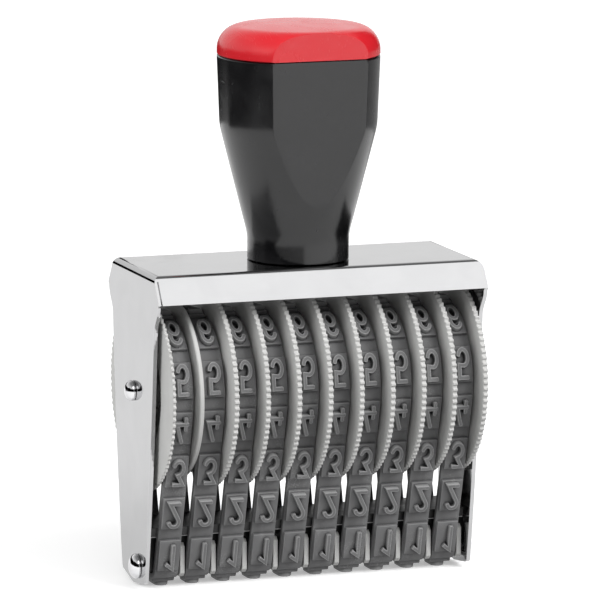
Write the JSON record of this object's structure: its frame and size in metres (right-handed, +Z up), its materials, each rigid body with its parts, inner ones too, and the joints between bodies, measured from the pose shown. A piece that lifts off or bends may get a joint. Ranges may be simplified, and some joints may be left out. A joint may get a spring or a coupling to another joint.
{
  "type": "band numbering stamp",
  "caption": "Hand stamp with rubber number bands set by knurled wheels in a pressed chromed frame, with a turned black handle and a red cap.",
  "frame": {"origin": "under the middle of the stamp, in the plane that the bottom row of characters prints on", "axes": "+Z up through the handle, X along the wheel axle, -Y towards the front, which shows the number bands"},
  "size_m": [0.079, 0.0434, 0.1202],
  "materials": {
    "chromed_steel": "bright nickel-chrome plate on pressed sheet, lightly scuffed",
    "bright_steel": "polished domed rivet heads and a bright rod",
    "blackened_steel": "satin black, worn on the edges",
    "zinc_plated_steel": "zinc plate, dull",
    "black_plastic": "glossy moulded plastic",
    "red_plastic": "glossy moulded plastic",
    "light_grey_plastic": "satin moulded plastic",
    "dark_grey_rubber": "vulcanised rubber, matt"
  },
  "bodies": {
    "stamp": {"band_guide_01": "light_grey_plastic", "band_guide_02": "light_grey_plastic", "band_guide_03": "light_grey_plastic", "band_guide_04": "light_grey_plastic", "band_guide_05": "light_grey_plastic", "band_guide_06": "light_grey_plastic", "band_guide_07": "light_grey_plastic", "band_guide_08": "light_grey_plastic", "band_guide_09": "light_grey_plastic", "band_guide_10": "light_grey_plastic", "bridge_bar": "blackened_steel", "bridge_rivet_left": "bright_steel", "bridge_rivet_right": "bright_steel", "frame": "chromed_steel", "handle_body": "black_plastic", "handle_cap": "red_plastic", "handle_screw": "zinc_plated_steel", "handle_washer": "zinc_plated_steel", "number_band_01": "dark_grey_rubber", "number_band_02": "dark_grey_rubber", "number_band_03": "dark_grey_rubber", "number_band_04": "dark_grey_rubber", "number_band_05": "dark_grey_rubber", "number_band_06": "dark_grey_rubber", "number_band_07": "dark_grey_rubber", "number_band_08": "dark_grey_rubber", "number_band_09": "dark_grey_rubber", "number_band_10": "dark_grey_rubber", "spacer_disc": "light_grey_plastic", "wheel_axle": "bright_steel"},
    "wheel_01": {"setting_wheel_01": "light_grey_plastic"},
    "wheel_02": {"setting_wheel_02": "light_grey_plastic"},
    "wheel_03": {"setting_wheel_03": "light_grey_plastic"},
    "wheel_04": {"setting_wheel_04": "light_grey_plastic"},
    "wheel_05": {"setting_wheel_05": "light_grey_plastic"},
    "wheel_06": {"setting_wheel_06": "light_grey_plastic"},
    "wheel_07": {"setting_wheel_07": "light_grey_plastic"},
    "wheel_08": {"setting_wheel_08": "light_grey_plastic"},
    "wheel_09": {"setting_wheel_09": "light_grey_plastic"},
    "wheel_10": {"setting_wheel_10": "light_grey_plastic"}
  },
  "joints": [
    {"name": "wheel_01_turn", "type": "hinge", "parent": "stamp", "child": "wheel_01", "pos_m": [-0.03177, 0, 0.0424], "axis": [1, 0, 0], "continuous": true},
    {"name": "wheel_02_turn", "type": "hinge", "parent": "stamp", "child": "wheel_02", "pos_m": [-0.02471, 0, 0.0424], "axis": [1, 0, 0], "continuous": true},
    {"name": "wheel_03_turn", "type": "hinge", "parent": "stamp", "child": "wheel_03", "pos_m": [-0.01765, 0, 0.0424], "axis": [1, 0, 0], "continuous": true},
    {"name": "wheel_04_turn", "type": "hinge", "parent": "stamp", "child": "wheel_04", "pos_m": [-0.01059, 0, 0.0424], "axis": [1, 0, 0], "continuous": true},
    {"name": "wheel_05_turn", "type": "hinge", "parent": "stamp", "child": "wheel_05", "pos_m": [-0.00353, 0, 0.0424], "axis": [1, 0, 0], "continuous": true},
    {"name": "wheel_06_turn", "type": "hinge", "parent": "stamp", "child": "wheel_06", "pos_m": [0.00353, 0, 0.0424], "axis": [1, 0, 0], "continuous": true},
    {"name": "wheel_07_turn", "type": "hinge", "parent": "stamp", "child": "wheel_07", "pos_m": [0.01059, 0, 0.0424], "axis": [1, 0, 0], "continuous": true},
    {"name": "wheel_08_turn", "type": "hinge", "parent": "stamp", "child": "wheel_08", "pos_m": [0.01765, 0, 0.0424], "axis": [1, 0, 0], "continuous": true},
    {"name": "wheel_09_turn", "type": "hinge", "parent": "stamp", "child": "wheel_09", "pos_m": [0.02471, 0, 0.0424], "axis": [1, 0, 0], "continuous": true},
    {"name": "wheel_10_turn", "type": "hinge", "parent": "stamp", "child": "wheel_10", "pos_m": [0.03177, 0, 0.0424], "axis": [1, 0, 0], "continuous": true}
  ]
}
